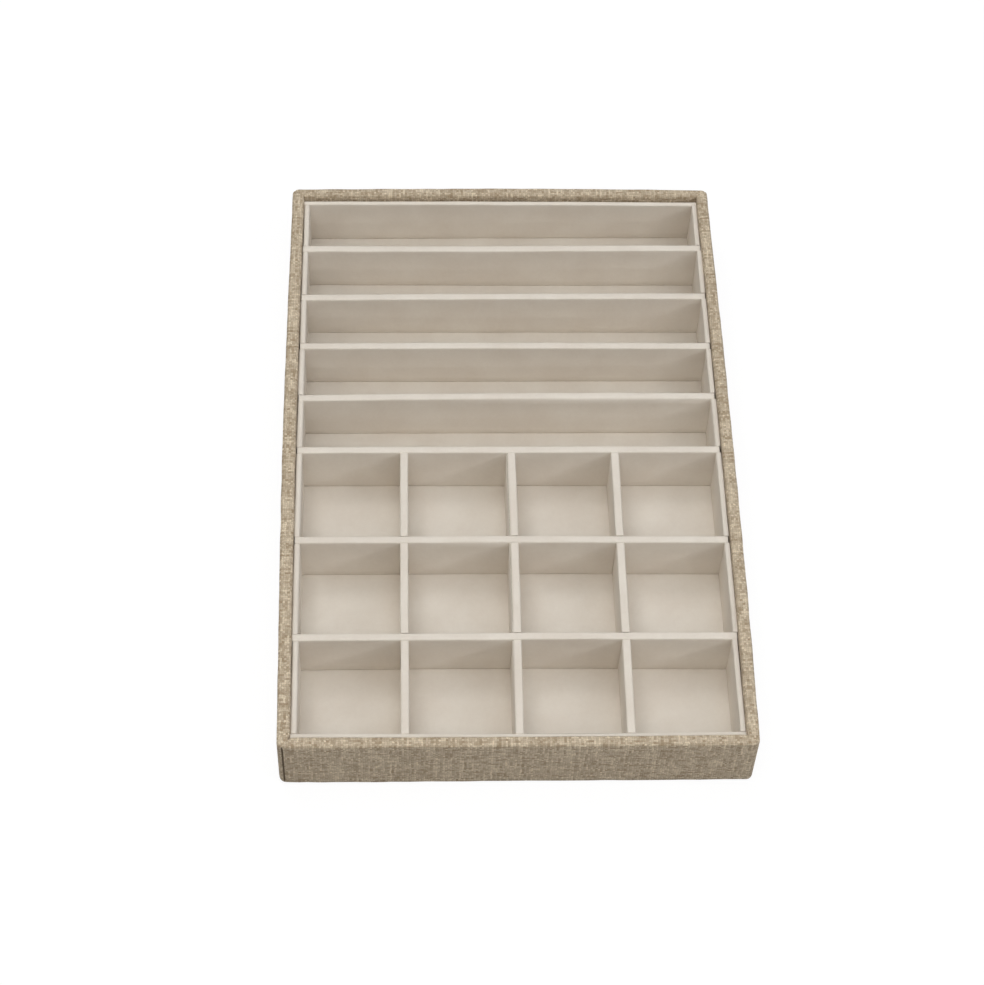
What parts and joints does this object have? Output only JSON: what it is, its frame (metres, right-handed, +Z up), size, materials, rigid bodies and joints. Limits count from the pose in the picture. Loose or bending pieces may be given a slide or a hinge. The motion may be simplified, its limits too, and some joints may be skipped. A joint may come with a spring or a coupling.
{
  "type": "jewelry tray",
  "caption": "Shallow open tray of cloth-covered board, with a suede-covered grid of long slots at the rear and near-square compartments at the front.",
  "frame": {"origin": "middle of the underside, on the felt", "axes": "+X to the right, +Y from the squares at the front to the long slots at the rear, +Z up"},
  "size_m": [0.241, 0.368, 0.038],
  "materials": {
    "woven_cloth": "coarse weave",
    "suede": "soft nap, matte",
    "felt": "matte",
    "greyboard": "raw",
    "card": "raw"
  },
  "bodies": {
    "root": {"fabric_wrap": "woven_cloth", "bottom_felt": "felt", "base_board": "greyboard", "left_wall_board": "greyboard", "right_wall_board": "greyboard", "front_wall_board": "greyboard", "rear_wall_board": "greyboard", "floor_card": "card", "floor_lining": "suede", "slot_spacer_cards": "card", "row_spacer_cards": "card", "rear_liner_card": "card", "rear_liner_suede": "suede", "front_liner_card": "card", "front_liner_suede": "suede", "across_divider_1_card": "card", "across_divider_1_suede": "suede", "across_divider_2_card": "card", "across_divider_2_suede": "suede", "across_divider_3_card": "card", "across_divider_3_suede": "suede", "across_divider_4_card": "card", "across_divider_4_suede": "suede", "across_divider_5_card": "card", "across_divider_5_suede": "suede", "across_divider_6_card": "card", "across_divider_6_suede": "suede", "across_divider_7_card": "card", "across_divider_7_suede": "suede", "long_divider_1_card": "card", "long_divider_1_suede": "suede", "long_divider_2_card": "card", "long_divider_2_suede": "suede", "long_divider_3_card": "card", "long_divider_3_suede": "suede", "left_spacer_1_suede": "suede", "left_spacer_2_suede": "suede", "left_spacer_3_suede": "suede", "left_spacer_4_suede": "suede", "left_spacer_5_suede": "suede", "left_spacer_6_suede": "suede", "left_spacer_7_suede": "suede", "left_spacer_8_suede": "suede", "right_spacer_1_suede": "suede", "right_spacer_2_suede": "suede", "right_spacer_3_suede": "suede", "right_spacer_4_suede": "suede", "right_spacer_5_suede": "suede", "right_spacer_6_suede": "suede", "right_spacer_7_suede": "suede", "right_spacer_8_suede": "suede"}
  },
  "joints": []
}
